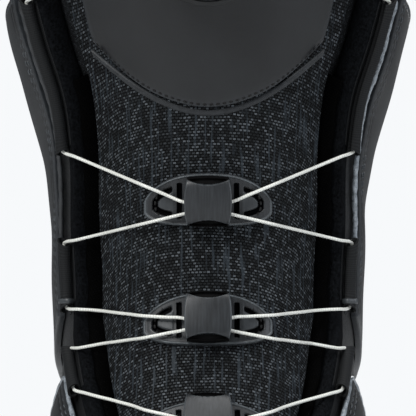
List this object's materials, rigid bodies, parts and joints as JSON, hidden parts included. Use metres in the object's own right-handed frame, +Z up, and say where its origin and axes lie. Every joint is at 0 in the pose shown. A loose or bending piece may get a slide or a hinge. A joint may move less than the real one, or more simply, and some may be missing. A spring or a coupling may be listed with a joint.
{
  "type": "snowboard boot",
  "caption": "Left snowboard boot: padded fabric tongue with moulded crossing guides, steel lace in textile tunnels, reel dial, leather shell, removable liner and lugged sole.",
  "frame": {"origin": "on the floor, under the middle of the boot's bounding box", "axes": "+Z up, toe towards -Y, the wearer's left (the outer side) towards +X"},
  "size_m": [0.1386, 0.312, 0.3111],
  "materials": {
    "binding": "satin tape",
    "counter_plastic": "moulded, matt",
    "dial_plastic": "moulded nylon",
    "fibre_board": "pressed fibre",
    "footbed_foam": "moulded foam, cloth faced",
    "gel": "soft gel",
    "grip_rubber": "moulded",
    "guide_nylon": "moulded nylon",
    "lace_steel": "coated wire",
    "liner_foam": "padded, brushed",
    "lining_fabric": "brushed knit",
    "midsole_foam": "moulded foam",
    "piping": "glossy, creased",
    "shank_composite": "fibre composite",
    "small_steel": "bright",
    "smooth_leather": "smooth",
    "toe_rubber": "moulded",
    "tongue_fabric": "slubbed weave",
    "tread_rubber": "moulded",
    "upper_leather": "fine grain",
    "webbing": "woven"
  },
  "bodies": {
    "boot": {"midsole": "midsole_foam", "shank": "shank_composite", "heel_gel_pad": "gel", "outsole_forefoot": "tread_rubber", "outsole_heel": "tread_rubber", "lasting_board": "fibre_board", "vamp": "upper_leather", "toe_cap": "toe_rubber", "heel_counter": "counter_plastic", "backstay": "upper_leather", "heel_loop": "webbing", "quarter_lateral": "upper_leather", "side_panel_lateral": "upper_leather", "cuff_panel_lateral": "upper_leather", "cuff_piping_lateral": "piping", "lining_lateral": "lining_fabric", "gusset_lateral": "lining_fabric", "lace_tube_lateral_1": "webbing", "lace_tube_lateral_2": "webbing", "lace_tube_lateral_3": "webbing", "lace_tube_lateral_4": "webbing", "quarter_medial": "upper_leather", "side_panel_medial": "upper_leather", "cuff_panel_medial": "upper_leather", "cuff_piping_medial": "piping", "lining_medial": "lining_fabric", "gusset_medial": "lining_fabric", "lace_tube_medial_1": "webbing", "lace_tube_medial_2": "webbing", "lace_tube_medial_3": "webbing", "lace_tube_medial_4": "webbing", "vamp_guide": "guide_nylon", "lace": "lace_steel", "liner": "liner_foam", "liner_tongue": "liner_foam", "footbed": "footbed_foam"},
    "tongue_assembly": {"tongue": "tongue_fabric", "tongue_patch": "smooth_leather", "patch_binding": "binding", "guide_1_flange": "guide_nylon", "guide_1_bridge": "guide_nylon", "guide_2_flange": "guide_nylon", "guide_2_bridge": "guide_nylon", "guide_3_flange": "guide_nylon", "guide_3_bridge": "guide_nylon", "dial_base": "dial_plastic", "dial_screw": "small_steel"},
    "knob_slider": {"detent_ring": "small_steel"},
    "knob": {"drive_disc": "dial_plastic", "dial_knob": "dial_plastic", "knob_grip": "grip_rubber", "dial_cap": "dial_plastic"},
    "reel_spool": {"dial_spool": "dial_plastic", "lace_winding": "lace_steel"}
  },
  "joints": [
    {"name": "tongue_open", "type": "hinge", "parent": "boot", "child": "tongue_assembly", "pos_m": [0, -0.0595, 0.1115], "axis": [1, 0, 0], "range_deg": [0, 20], "deforming": ["lace", "gusset_lateral", "gusset_medial"]},
    {"name": "dial_pull", "type": "slide", "parent": "tongue_assembly", "child": "knob_slider", "axis": [0, -0.975, -0.2224], "range_m": [0, 0.0025]},
    {"name": "dial_turn", "type": "hinge", "parent": "knob_slider", "child": "knob", "pos_m": [0, -0.04118, 0.28755], "axis": [0, -0.975, -0.2224], "continuous": true},
    {"name": "spool_turn", "type": "hinge", "parent": "tongue_assembly", "child": "reel_spool", "pos_m": [0, -0.04118, 0.28755], "axis": [0, -0.975, -0.2224], "continuous": true}
  ],
  "couplings": [
    {"joint": "spool_turn", "follows": "dial_turn", "ratio": 1}
  ]
}
